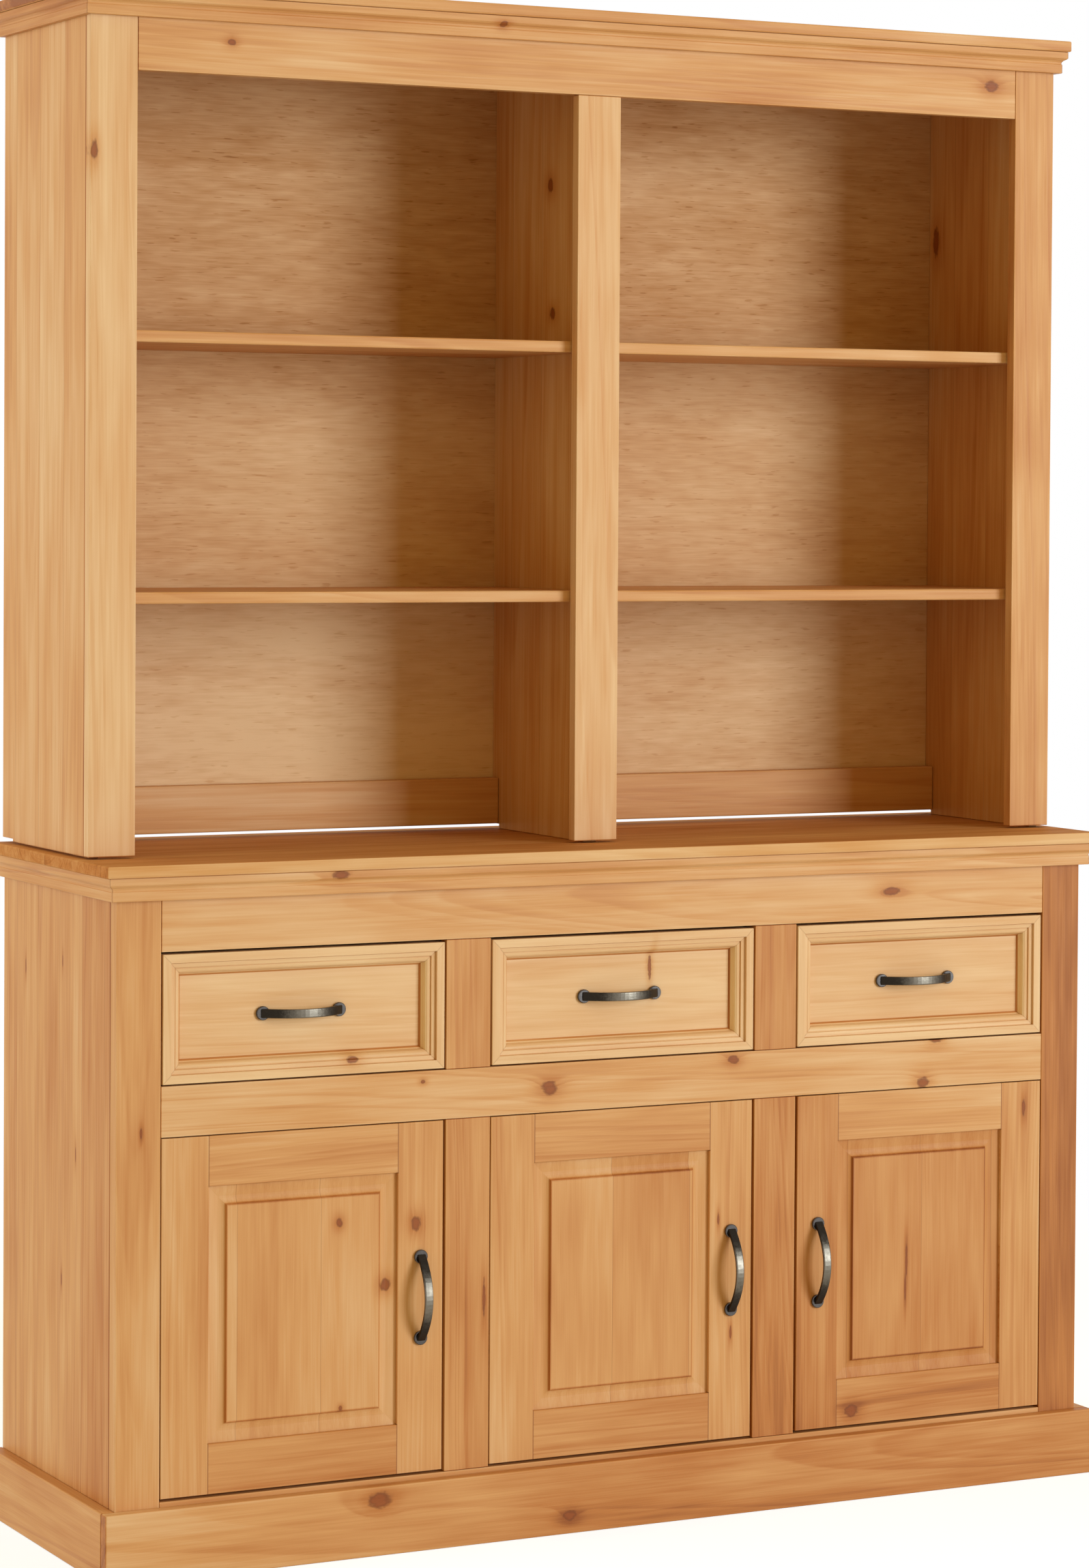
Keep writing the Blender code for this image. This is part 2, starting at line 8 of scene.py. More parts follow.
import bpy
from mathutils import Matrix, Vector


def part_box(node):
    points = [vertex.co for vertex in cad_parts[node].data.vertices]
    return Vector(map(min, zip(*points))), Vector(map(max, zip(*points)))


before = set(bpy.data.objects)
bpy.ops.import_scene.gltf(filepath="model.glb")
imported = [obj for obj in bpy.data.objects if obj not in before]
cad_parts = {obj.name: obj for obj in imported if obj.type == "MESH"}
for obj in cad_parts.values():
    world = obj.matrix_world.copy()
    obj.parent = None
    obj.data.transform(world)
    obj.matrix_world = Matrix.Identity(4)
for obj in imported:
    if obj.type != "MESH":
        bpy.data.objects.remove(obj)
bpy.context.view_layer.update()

# %% [markdown]
# ## Tools for shader nodes
# Wood is drawn by a long sum of small patterns. Placing its nodes by hand hides the sum,
# so one class wraps the output of a node: ordinary arithmetic on it adds Math nodes,
# and one method adds any other kind of node, with its settings first and then its sockets.

# %% Arithmetic on sockets
import math

import bpy
from mathutils import Matrix, Vector


class Shade:
    """One output of a shader node. Arithmetic on it adds Math nodes to the same tree."""

    def __init__(self, tree, output=None):
        self.tree = tree
        self.output = output

    def node(self, kind, settings=None, inputs=None, output=0):
        """Adds a node of any kind: first its settings, then the values or links of its sockets."""
        made = self.tree.nodes.new("ShaderNode" + kind)
        for name, value in (settings or {}).items():
            if name == "stops":
                fill_ramp(made.color_ramp, value)
            else:
                setattr(made, name, value)
        for socket, value in (inputs or {}).items():
            if isinstance(value, Shade):
                self.tree.links.new(value.output, made.inputs[socket])
            else:
                made.inputs[socket].default_value = value
        return Shade(self.tree, made.outputs[output])

    def other(self, output):
        """Another output of the same node."""
        return Shade(self.tree, self.output.node.outputs[output])

    def math(self, operation, *values):
        return self.node("Math", {"operation": operation}, dict(enumerate((self, *values))))

    def __add__(self, value):
        return self.math("ADD", value)

    __radd__ = __add__

    def __sub__(self, value):
        return self.math("SUBTRACT", value)

    def __rsub__(self, value):
        return self.node("Math", {"operation": "SUBTRACT"}, {0: value, 1: self})

    def __mul__(self, value):
        return self.math("MULTIPLY", value)

    __rmul__ = __mul__


def fill_ramp(ramp, stops):
    """Gives a colour ramp its (position, colour) stops."""
    for position, _ in stops[2:]:
        ramp.elements.new(position)
    for element, (position, colour) in zip(ramp.elements, stops):
        element.position = position
        element.color = colour


print("Shade is ready:", [name for name in vars(Shade) if "__" not in name])

# %% [markdown]
# ## Small helpers
# A soft step, a choice between two values and a blend of two colours turn up in every finish.
# Colours are written as the eye reads them off a screen, from 0 to 255, and changed to light
# values once, because shader sockets work in light values.

# %% Steps, choices and colours
def light_value(channel):
    """One channel of a screen colour, from 0 to 255, as a light value from 0 to 1."""
    share = channel / 255
    if share < 0.04045:
        return share / 12.92
    return ((share + 0.055) / 1.055) ** 2.4


def paint(red, green, blue):
    """A screen colour as the light values that a colour socket takes."""
    return (light_value(red), light_value(green), light_value(blue), 1.0)


def step(value, start, end):
    """0 before start and 1 after end, with a soft rise between. It falls where end is below start."""
    sockets = {"Value": value, "From Min": start, "From Max": end}
    return value.node("MapRange", {"interpolation_type": "SMOOTHSTEP"}, sockets)


def line_at(distance, middle, outer, inner):
    """A thin soft line: 1 up to inner from where the distance equals middle, and 0 beyond outer."""
    return step((distance - middle).math("ABSOLUTE"), outer, inner)


def choose(mask, without, inside):
    """One value where the mask is 0 and another where it is 1."""
    return mask.node("Mix", {"data_type": "FLOAT"}, {0: mask, 2: without, 3: inside})


def blend(mask, without, inside):
    """The same choice between two colours."""
    return mask.node("Mix", {"data_type": "RGBA"}, {0: mask, 6: without, 7: inside}, 2)


def noise(place, stretch, seed=0.0, detail=1.0):
    """Cloudy values around a half, with a frequency of its own on each axis of place."""
    terms = {0: place, 1: stretch, 2: (seed, seed, seed)}
    moved = place.node("VectorMath", {"operation": "MULTIPLY_ADD"}, terms)
    return place.node("TexNoise", {}, {"Vector": moved, "Scale": 1.0, "Detail": detail})


def chance(number):
    """A value from 0 to 1 that is fixed for each number."""
    return number.node("TexWhiteNoise", {"noise_dimensions": "1D"}, {"W": number})


print("honey pine as a light value:", paint(212, 162, 112))

# %% [markdown]
# ## How a board was cut
# A plank is a thin slice of a trunk. Its growth rings are long tubes round the pith, and the
# pattern on each face is where that face cuts the tubes. So the shader works out how far a
# point lies from an imagined pith line, in real metres. The face, the edge and the end grain
# of one board then agree, which no flat picture of wood could do.

# %% Where a point lies in its board
AXES = "XYZ"


def spot_of(shade):
    """The object's own coordinates, as three separate values."""
    place = shade.node("TexCoord", output="Object")
    split = shade.node("SeparateXYZ", inputs={0: place})
    return {axis: split.other(axis) for axis in AXES}


def middle_of(node):
    """The middle of a CAD node's box, by axis."""
    low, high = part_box(node)
    return dict(zip(AXES, (low + high) / 2))


def half_of(node):
    """Half the size of a CAD node's box, by axis."""
    low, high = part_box(node)
    return dict(zip(AXES, (high - low) / 2))


def inside_by(spot, node, axis):
    """How far a point lies inside its node's box, from the nearer of the two ends on one axis."""
    return half_of(node)[axis] - (spot[axis] - middle_of(node)[axis]).math("ABSOLUTE")


def behind_front(spot, node):
    """How far a point lies behind the front of its node's box."""
    return spot["Y"] - (middle_of(node)["Y"] - half_of(node)["Y"])


print("places are measured along", *AXES)

# %% [markdown]
# ## The lay of a board
# Every finish has to know how its wood was cut. So each kind of board has a function that gives
# its lay: how far a point lies across, through and along the board, which part of a joined piece
# it is in, and where a seam, more stain, painted shade and painted light fall. The patterns are
# then drawn once, for all lays.

# %% A single board
def plain_board(along, through):
    """The lay of a single board: its grain runs along one axis, and it is thin through another."""
    across = next(axis for axis in AXES if axis not in along + through)

    def lay(spot, node):
        middle = middle_of(node)
        return {
            "across": spot[across] - middle[across],
            "through": spot[through] - middle[through],
            "along": spot[along] - middle[along],
            # A single board is part 0. It is a socket because joined pieces work theirs out.
            "part": spot[along] * 0.0,
            "seam": None,
            "from_end": inside_by(spot, node, along),
        }

    return lay


print("a rail lies", AXES[0], "and is thin", AXES[1])

# %% [markdown]
# ## Growth rings
# Each ring starts as pale, soft spring wood, darkens into a hard orange line and stops short.
# A saw-tooth does this better than a sine wave. Rings differ in width and strength from year to
# year, and the pith wanders, so the lines are never evenly spaced nor quite straight.

# %% Rings from the pith line
RING_WIDTH = 0.0055
PITH_WANDER = 0.050
PART_SHIFT = 0.05
RIPPLE = 0.8
UNEVENNESS = 3.2


def rings(lay, place, pith, lean, bulge, seed):
    """How dark the late wood is, from 0 to 1."""
    wander = noise(place, (2.6, 2.6, 1.3), seed)
    moved = PART_SHIFT * chance(lay["part"] + seed) - PART_SHIFT / 2
    beside = lay["across"] - pith[0] + moved + lean[0] * lay["along"] + PITH_WANDER * (wander - 0.5)
    above = lay["through"] - pith[1] + lean[1] * lay["along"] + bulge
    distance = (beside * beside + above * above).math("SQRT")
    ripple = noise(place, (40.0, 40.0, 4.0), seed)
    years = {"W": distance + seed, "Scale": 45.0}
    spacing = distance.node("TexNoise", {"noise_dimensions": "1D"}, years)
    count = distance * (1 / RING_WIDTH) + RIPPLE * ripple + UNEVENNESS * spacing
    year = count.math("FRACT")
    luck = chance(count.math("FLOOR") + seed)
    strength = 0.10 + 0.90 * luck * luck
    return step(year, 0.0, 0.80) * step(year, 1.0, 0.82) * strength


print("rings", RING_WIDTH * 1000, "mm wide")

# %% [markdown]
# ## Knots and resin streaks
# A knot is a branch that the trunk grew round. It shows as a red-brown oval with a nearly black
# rim of bark, dark wood round it, and rings that swing past. Resin streaks are the same thing
# drawn long and thin.
# Both are listed one by one, because their places are what makes one dresser differ from the next.

# %% One knot or streak
RAGGED = 2.4
HALO_FALL = -0.16
RING_PUSH = 1.6


def knot_shape(spot, place, across, knots):
    """The cores of the knots, their rims, the dark wood round them and how far they push the rings."""
    core = rim = halo = bulge = None
    rough = noise(place, (260.0, 260.0, 120.0), 3.0, 2.0)
    for flat, high, wide, tall in knots:
        beside = (spot[across] - flat) * (1 / wide)
        above = (spot["Z"] - high) * (1 / tall)
        reach = (beside * beside + above * above) + RAGGED * (rough - 0.5)
        one_core = step(reach, 2.10, 0.60)
        one_rim = step(reach, 0.10, 1.30)
        one_halo = (reach * HALO_FALL).math("EXPONENT")
        one_bulge = one_halo * (RING_PUSH * min(wide, tall))
        core = one_core if core is None else core.math("MAXIMUM", one_core)
        rim = one_rim if rim is None else rim.math("MINIMUM", one_rim)
        halo = one_halo if halo is None else halo.math("MAXIMUM", one_halo)
        bulge = one_bulge if bulge is None else bulge + one_bulge
    return core, rim, halo, bulge


print("a knot is given as (across, height, half width, half height) in metres")

# %% [markdown]
# ## The waxed finish
# Stain and wax have soaked in unevenly, so broad clouds lie over the rings, with fine fibres on
# top of both. All of them move one value from pale to dark, and a colour ramp turns that value
# into colour. This keeps every board in one family, and a board's tone is a single number.

# %% The colours of waxed pine
PINE = [
    (0.00, paint(236, 205, 162)),
    (0.30, paint(222, 181, 136)),
    (0.55, paint(208, 153, 98)),
    (0.80, paint(186, 120, 64)),
    (1.00, paint(150, 86, 40)),
]
KNOT_HEART = paint(142, 74, 32)
KNOT_RIM = paint(112, 58, 26)
SEAM = paint(132, 78, 40)
print("pine runs from pale to dark in", len(PINE), "steps")

# %% [markdown]
# ## Joining a finish to a board
# Every finish ends the same way: a colour, a roughness and a fine height go into one Principled
# shader, and its material goes into the slots of one CAD node. Hands and dusters wear wax off
# the edges first, so a mask of the edges is made from the node's box.

# %% Worn edges and joined sockets
def near_arris(spot, node, width):
    """1 along the edges of a board and 0 on its faces."""
    first, second, third = (inside_by(spot, node, axis) for axis in AXES)
    # Two of the three distances are small along an edge, so the one between the others decides.
    lower = first.math("MINIMUM", second)
    upper = first.math("MAXIMUM", second)
    return step(lower.math("MAXIMUM", upper.math("MINIMUM", third)), width, 0.0)


def join_finish(colour, roughness, height, shine=0.25, metallic=0.0, bump=0.12, depth=0.0004):
    """Joins a colour, a roughness and a height to the Principled shader of their tree."""
    tree = colour.tree
    shader = tree.nodes["Principled BSDF"]
    shader.inputs["Specular IOR Level"].default_value = shine
    shader.inputs["Metallic"].default_value = metallic
    tree.links.new(colour.output, shader.inputs["Base Color"])
    tree.links.new(roughness.output, shader.inputs["Roughness"])
    normal = colour.node("Bump", {}, {"Strength": bump, "Distance": depth, "Height": height})
    tree.links.new(normal.output, shader.inputs["Normal"])


def new_finish(name):
    """An empty material and a first socket wrapper for its tree."""
    material = bpy.data.materials.new(name)
    material.use_nodes = True
    return material, Shade(material.node_tree)


def dress(node, material):
    """Puts a material into every slot of a CAD node."""
    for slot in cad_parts[node].material_slots:
        slot.material = material


print("finishes start from", list(bpy.data.materials.keys()))

# %% [markdown]
# ## Glued strips
# A wide panel is never one board. Strips of about a hand's width are glued edge to edge, so the
# figure jumps at each glue line and the tone shifts a little. The number of the strip goes into
# the ring pattern as a new place in the trunk.

# %% Strips
GLUE_WIDTH, GLUE_LINE = 0.0006, 0.45
FIRST_STRIP = 0.37


def glued_strips(lay, width, seed):
    """The same lay, cut across the board into strips of one width, with glue lines between them."""
    strip = lay["across"] * (1 / width) + FIRST_STRIP * math.sin(seed)
    from_middle = (strip.math("FRACT") - 0.5).math("ABSOLUTE")
    glue = GLUE_LINE * step(from_middle, 0.5 - GLUE_WIDTH / width, 0.5)
    seam = glue if lay["seam"] is None else lay["seam"].math("MAXIMUM", glue)
    return {**lay, "part": lay["part"] + strip.math("FLOOR"), "seam": seam}


print("glue lines are", 2 * GLUE_WIDTH * 1000, "mm wide")

# %% [markdown]
# ## The figure of pine
# A noise that is fine across the board and long down it draws streaks, and one that is broad both
# ways draws clouds. The weights below say how much each pattern darkens the wood: the rings,
# streaks, fine threads, clouds, blotches of stain and single fibres. They were balanced against
# the real wood.

# %% Rings, streaks and clouds
LATE, STREAK, THREAD = 0.12, 0.36, 0.18
CLOUD, BLOTCH, FIBRE = 0.44, 0.22, 0.14


def pine_figure(place, late, fibre, calm, seed):
    """How much the patterns darken the wood. calm below 1 weakens those that run along it."""
    streak = noise(place, (46.0, 46.0, 1.5), seed, 2.0)
    thread = noise(place, (230.0, 230.0, 5.0), seed + 2.0, 1.0)
    cloud = noise(place, (8.0, 8.0, 3.0), seed + 5.0, 2.0)
    blotch = noise(place, (80.0, 80.0, 9.0), seed + 8.0, 1.0)
    lines = calm * (LATE * late + STREAK * (streak - 0.5) + THREAD * (thread - 0.5))
    return lines + CLOUD * (cloud - 0.5) + BLOTCH * (blotch - 0.5) + FIBRE * (fibre - 0.5)


print("rings count for", LATE, "of the tone and streaks for", STREAK)

# %% [markdown]
# ## Tone, wear, stain and painted light
# Each board has a tone of its own, and its edges are worn pale. End grain drinks stain, so the
# very end of a board is dark, and some boards took more stain in other places too. Some boards
# also carry painted shade and painted light, which are added in the same way.

# %% Tone and wear
BOARD_CHANCE = 0.10
ALL_PALER = 0.03
WORN_WIDTH, WORN = 0.0022, 0.10
END_WIDTH, END_LINE = (0.0013, 0.0004), 0.45
KNOT_HALO = 0.30


def toned(dark, lay, tone, edge, halo, seed):
    """The figure with the board's tone, its worn edges, its stain, painted shade and painted light, and
    the dark round its knots.
    """
    dark = dark + BOARD_CHANCE * (chance(lay["part"] * 1.3 + seed) - 0.5) + (tone - ALL_PALER)
    dark = dark - WORN * edge
    if "from_end" in lay:
        dark = dark + END_LINE * step(lay["from_end"], *END_WIDTH)
    # On some boards the lay's stain also holds painted shade and painted light.
    if "stain" in lay:
        dark = dark + lay["stain"]
    if halo is not None:
        dark = dark + KNOT_HALO * halo
    return dark


print("edges are worn over", WORN_WIDTH * 1000, "mm")

# %% [markdown]
# ## One pine board
# Now one function can make the finish of any board. Boards differ in tone, in where the pith lay
# and in their knots, and every new material gives its board another seed for the noises.

# %% Pine
KNOT_CORE = 0.86
PARTS_APART = 0.61


def pine(
    node, lay_of, tone, pith=(0.01, 0.06), lean=(0.01, 0.02), knots=(), flat="X",
    staves=0.0, calm=1.0, shine=0.20, dull=0.50,
):
    """Gives one CAD node a pine finish of its own.

    A higher tone is darker, and calm below 1 weakens the figure. pith is where the trunk's middle
    lies, across and through the board, and lean is how far the board slants off it. Knots are
    placed along the axis flat and in height. staves is the width of the strips in a glued panel.
    """
    material, shade = new_finish(node)
    seed = 1.7 * len(bpy.data.materials)
    spot = spot_of(shade)
    lay = lay_of(spot, node)
    if staves:
        lay = glued_strips(lay, staves, seed)
    shift = PARTS_APART * lay["part"]
    combined = {0: lay["across"] + shift, 1: lay["through"] + shift, 2: lay["along"] + shift}
    place = shade.node("CombineXYZ", inputs=combined)
    core, rim, halo, bulge = knot_shape(spot, place, flat, knots)
    late = rings(lay, place, pith, lean, 0.0 if bulge is None else bulge, seed)
    fibre = noise(place, (900.0, 900.0, 12.0), seed)
    edge = near_arris(spot, node, WORN_WIDTH)
    dark = toned(pine_figure(place, late, fibre, calm, seed), lay, tone, edge, halo, seed)
    colour = shade.node("ValToRGB", {"stops": PINE}, {0: dark})
    if core is not None:
        colour = blend(core * KNOT_CORE, colour, blend(rim, KNOT_HEART, KNOT_RIM))
    if lay["seam"] is not None:
        colour = blend(lay["seam"], colour, SEAM)
    roughness = dull + 0.22 * (fibre - 0.5) - 0.05 * late + 0.10 * edge
    join_finish(colour, roughness, fibre, shine)
    dress(node, material)


print("a board is given its lay, its tone, its pith and its knots")

# %% [markdown]
# ## The face frame of the base
# Stiles stand at the ends, rails run between them and short posts divide the openings. The grain
# follows the length of each piece. The rails are the palest, and the right stile was cut from a
# darker plank.

# %% Stiles, rails and posts
UPRIGHT = plain_board("Z", "Y")
RAIL = plain_board("X", "Y")

pine("base_stile_left", UPRIGHT, 0.54, (0.02, 0.03), (0.02, 0.04), [(-0.6198, 0.5115, 0.0012, 0.005)])
pine("base_stile_right", UPRIGHT, 0.88, (0.06, 0.04), (0.01, 0.02), calm=0.6)
pine("base_top_rail", RAIL, 0.49, (0.01, 0.03), (0.03, 0.06), [(0.372, 0.752, 0.010, 0.004)])
rail_knots = [
    (-0.1013, 0.5339, 0.0085, 0.0070),
    (0.1497, 0.5540, 0.0060, 0.0045),
    (-0.2671, 0.5507, 0.0025, 0.0020),
    (0.4400, 0.5650, 0.0075, 0.0050),
    (0.4200, 0.5110, 0.0070, 0.0060),
]
pine("base_middle_rail", RAIL, 0.53, (0.05, 0.05), (0.015, 0.03), rail_knots)
pine("drawer_divider_left", UPRIGHT, 0.66, (0.05, 0.06))
pine("drawer_divider_right", UPRIGHT, 0.68, (0.04, 0.03))
pine("door_post_left", UPRIGHT, 0.68, (0.05, 0.02), (0.02, 0.04), [(-0.1862, 0.2896, 0.0016, 0.018)])
pine("door_post_right", UPRIGHT, 0.80, (0.06, 0.03), (0.03, 0.06))
print("face frame dressed")

# %% [markdown]
# ## Plinth, sides and worktop
# The wide panels of the base are glued up from strips. Some boards are also uneven: the plinth
# is darker to the right, the worktop's front edge is paler and its ends are painted lighter as a
# reflection of the white surround, and stain sits in the joint of each left side with its stile.
# One small wrapper adds each of these to the lay of a plain board.

# %% Uneven stain and painted reflection
JOINT_STAIN = 0.4
# How much paler the worktop's front edge is, and how much its ends are painted lighter as a reflection
# of the white surround.
PALE_FRONT, PAINTED_END_REFLECTION = 0.26, 0.34


def darker_to_the_right(lay_of, amount):
    """The same lay, growing darker from the left end to just past the middle."""

    def lay(spot, node):
        middle, half = middle_of(node), half_of(node)
        left, right = middle["X"] - half["X"], middle["X"] + 0.15 * half["X"]
        return {**lay_of(spot, node), "stain": 2 * amount * (step(spot["X"], left, right) - 0.5)}

    return lay


def joined_at_front(lay_of):
    """The same lay, with a line of stain along the front edge, where the board meets its stile."""

    def lay(spot, node):
        line = step(behind_front(spot, node), 0.0026, 0.0010)
        return {**lay_of(spot, node), "stain": JOINT_STAIN * line}

    return lay


def pale_front_edge(lay_of):
    """The same lay, paler on the board's front edge, and on its two ends painted lighter as a reflection
    of the white surround.
    """

    def lay(spot, node):
        front = step(behind_front(spot, node), 0.0012, 0.0003)
        # The ends are painted lighter, as a reflection of the white surround.
        ends = step(inside_by(spot, node, "X"), 0.0012, 0.0003)
        return {**lay_of(spot, node), "stain": (PALE_FRONT * front + PAINTED_END_REFLECTION * ends) * -1.0}

    return lay


print("three kinds of uneven stain")

# %% Panels of glued strips
SIDE = plain_board("Z", "X")
LONG_TOP = plain_board("X", "Z")
LEVEL_SIDE = plain_board("Y", "X")

plinth_knots = [(-0.3278, 0.0655, 0.0115, 0.0075), (-0.079, 0.0221, 0.007, 0.005)]
pine("plinth_front", darker_to_the_right(RAIL, 0.16), 0.63, (0.02, 0.06), (0.02, 0.04), plinth_knots)
pine("plinth_left", LEVEL_SIDE, 0.55, (0.03, 0.05), flat="Y")
pine("plinth_right", LEVEL_SIDE, 0.60, (0.03, 0.05), flat="Y")
side_streaks = [
    (0.1263, 0.6738, 0.0013, 0.0075),
    (-0.0007, 0.6929, 0.0010, 0.0060),
    (-0.0459, 0.4714, 0.0011, 0.0070),
    (0.0002, 0.3192, 0.0011, 0.0060),
]
near_side = joined_at_front(SIDE)
pine("base_side_left", near_side, 0.63, (0.05, 0.04), knots=side_streaks, flat="Y", staves=0.074)
pine("base_side_right", SIDE, 0.60, (0.04, 0.05), flat="Y", staves=0.080)
pine("worktop_board", pale_front_edge(LONG_TOP), 0.66, (0.03, 0.05), staves=0.092, shine=0.05, dull=0.64)
pine("base_bottom_board", LONG_TOP, 0.62, (0.02, 0.05), staves=0.090)
pine("drawer_deck", LONG_TOP, 0.62, (0.02, 0.05), staves=0.090)
pine("cupboard_partition_left", SIDE, 0.62, (0.03, 0.05), flat="Y", staves=0.085)
pine("cupboard_partition_right", SIDE, 0.60, (0.05, 0.05), flat="Y", staves=0.085)
print("panels dressed")

# %% [markdown]
# ## Mitred mouldings
# Each moulding runs round the front and both ends in three lengths, cut at 45 degrees where they
# meet. The CAD keeps it as one body. The point where the distance to the front equals the
# distance to the end is the mitre, so a comparison of the two turns the grain and draws the line.

# %% A moulding round three sides
def mitred_moulding(spot, node):
    """The lay of three lengths that meet at mitres: a front piece and two end pieces."""
    from_front = behind_front(spot, node)
    from_end = inside_by(spot, node, "X")
    end_piece = from_end.math("LESS_THAN", from_front)
    return {
        "across": spot["Z"] - middle_of(node)["Z"],
        "through": choose(end_piece, from_front, from_end),
        "along": choose(end_piece, spot["X"], spot["Y"]),
        "part": end_piece * (2.0 + spot["X"].math("SIGN")),
        "stain": end_piece * 0.10,
        "seam": line_at(from_front, from_end, 0.0012, 0.0004) * 0.5,
    }


pine("worktop_moulding", mitred_moulding, 0.52, (0.02, 0.05), knots=[(-0.3792, 0.7990, 0.0090, 0.0040)])
pine("cornice_moulding", mitred_moulding, 0.62, (0.02, 0.05), knots=[(-0.1354, 1.8052, 0.0040, 0.0030)])
print("mouldings dressed")

# %% [markdown]
# ## The hutch
# Its frame is made like the base's. The left side panel is seen at a slant and is glued up from
# strips, and the shelves are single boards with their front edges showing.

# %% Frame, sides and shelves
pine("hutch_stile_left", UPRIGHT, 0.40, (0.05, 0.03), knots=[(-0.6500, 1.6330, 0.0035, 0.0100)])
pine("hutch_stile_centre", UPRIGHT, 0.46, (0.02, 0.04), (0.015, 0.03))
pine("hutch_stile_right", UPRIGHT, 0.60, (0.05, 0.03))
top_rail_knots = [(-0.4811, 1.7652, 0.0040, 0.0030), (0.5605, 1.7668, 0.0080, 0.0060)]
pine("hutch_top_rail", RAIL, 0.60, (0.03, 0.06), knots=top_rail_knots)
pine("hutch_side_left", joined_at_front(SIDE), 0.50, (0.05, 0.05), flat="Y", staves=0.082)
inner = {"pith": (0.05, 0.04), "flat": "Y", "staves": 0.082, "shine": 0.08}
side_knots = [(0.1590, 1.5844, 0.0060, 0.0160)]
pine("hutch_side_right", SIDE, 0.57, knots=side_knots, **inner)
partition_knots = [(0.0192, 1.6252, 0.0060, 0.0070), (0.0114, 1.4663, 0.0060, 0.0060)]
pine("hutch_partition", SIDE, 0.48, knots=partition_knots, **inner)
pine("hutch_top_board", LONG_TOP, 0.60, (0.03, 0.05), staves=0.092)
for level in ("upper", "lower"):
    for side in ("left", "right"):
        pine(f"shelf_{level}_{side}", LONG_TOP, 0.62, (0.03, 0.05), staves=0.095)
for side in ("left", "right"):
    pine(f"hutch_back_rail_{side}", RAIL, 0.60, (0.03, 0.05))
print("hutch dressed")

# %% [markdown]
# ## Framed doors
# A door is two stiles, two rails and a raised panel that floats in their groove. The frame is one
# body here, so the shader tells rail from stile by the distance to the door's edges, turns the
# grain, and draws the thin joint lines where a rail butts against a stile.

# %% The lay of a door
STILE = 0.058


def door_frame(left_stain, low_stain):
    """The lay of a door's frame, with more stain on its left stile and on its bottom rail."""

    def lay(spot, node):
        middle = middle_of(node)
        beside = spot["X"] - middle["X"]
        above = spot["Z"] - middle["Z"]
        from_side = inside_by(spot, node, "X")
        rail = from_side.math("GREATER_THAN", STILE)
        by_rail = inside_by(spot, node, "Z").math("LESS_THAN", STILE + 0.001)
        low = above.math("LESS_THAN", 0.0) * low_stain
        left = beside.math("LESS_THAN", 0.0) * left_stain
        return {
            "across": choose(rail, beside, above),
            "through": spot["Y"] - middle["Y"],
            "along": choose(rail, above, beside),
            "part": choose(rail, beside.math("SIGN"), above.math("SIGN") * 3.0 + 9.0),
            "seam": line_at(from_side, STILE, 0.0009, 0.0003) * by_rail * 0.7,
            "stain": choose(rail, left, low),
        }

    return lay


SHOULDER = 0.0309
# How dark the painted shade at the shoulder of the raised field is.
SHOULDER_SHADE = 0.26


def raised_panel(spot, node):
    """The lay of a door's panel, with a line of painted shade at the shoulder of its raised field."""
    nearest = inside_by(spot, node, "X").math("MINIMUM", inside_by(spot, node, "Z"))
    line = line_at(nearest, SHOULDER, 0.0022, 0.0006)
    return {**UPRIGHT(spot, node), "stain": SHOULDER_SHADE * line}


print("stiles", STILE * 1000, "mm wide")

# %% [markdown]
# ## Three doors
# All three doors share one lay, and their knots, tones and stained pieces set them apart. The
# raised panels are glued up from straight boards, cut far from the pith.

# %% Doors
door_knots = {
    1: [(-0.2753, 0.3838, 0.0050, 0.0070), (-0.5334, 0.3749, 0.0013, 0.0150)],
    2: [(0.1480, 0.2200, 0.0012, 0.0070), (0.1300, 0.3600, 0.0012, 0.0060)],
    3: [(0.5700, 0.4700, 0.0020, 0.0090), (0.3200, 0.1080, 0.0080, 0.0060)],
}
panel_knots = {
    1: [
        (-0.3728, 0.3914, 0.0035, 0.0045),
        (-0.3125, 0.3138, 0.0055, 0.0060),
        (-0.3705, 0.1744, 0.0018, 0.0022),
    ],
    2: [],
    3: [(0.3990, 0.2900, 0.0012, 0.0160), (0.3975, 0.2560, 0.0010, 0.0130)],
}
FRAME_TONE = {1: 0.57, 2: 0.61, 3: 0.57}
FRAME_STAIN = {1: (0.0, 0.22), 2: (0.0, 0.03), 3: (0.18, 0.10)}
PANEL_TONE = {1: 0.55, 2: 0.60, 3: 0.75}
for number in (1, 2, 3):
    framed = door_frame(*FRAME_STAIN[number])
    tone, knots = FRAME_TONE[number], door_knots[number]
    pine(f"door_frame_{number}", framed, tone, (0.04, 0.04), (0.015, 0.03), knots)
    tone, knots = PANEL_TONE[number], panel_knots[number]
    straight = {"pith": (0.35, 0.02), "lean": (0.02, 0.01), "calm": 0.3, "staves": 0.105}
    pine(f"door_panel_{number}", raised_panel, tone, knots=knots, **straight)
print("doors dressed")

# %% [markdown]
# ## Drawers
# A drawer front is a panel inside a narrow moulded frame with mitred corners. It has taken less
# stain than the rest and is clearly paler. A painted shade darkens the panel where it meets the
# frame, and the frame's right-hand inner wall is painted lighter, as if lit. The distance to the
# nearest edge says which of these a point belongs to.

# %% Drawer fronts
MOULDED_FRAME = 0.0262
FOOT_OF_WALL = 0.0256
# The inner wall of the frame begins and ends at these distances from the front's edge, softly.
WALL_START = (0.0206, 0.0214)
WALL_END = (0.0246, 0.0238)
# How dark the painted shade at the foot of the inner wall is, and how much lighter the right-hand inner
# wall is painted, as if lit.
FOOT_SHADE, WALL_PAINTED_LIGHT = 0.50, 0.30


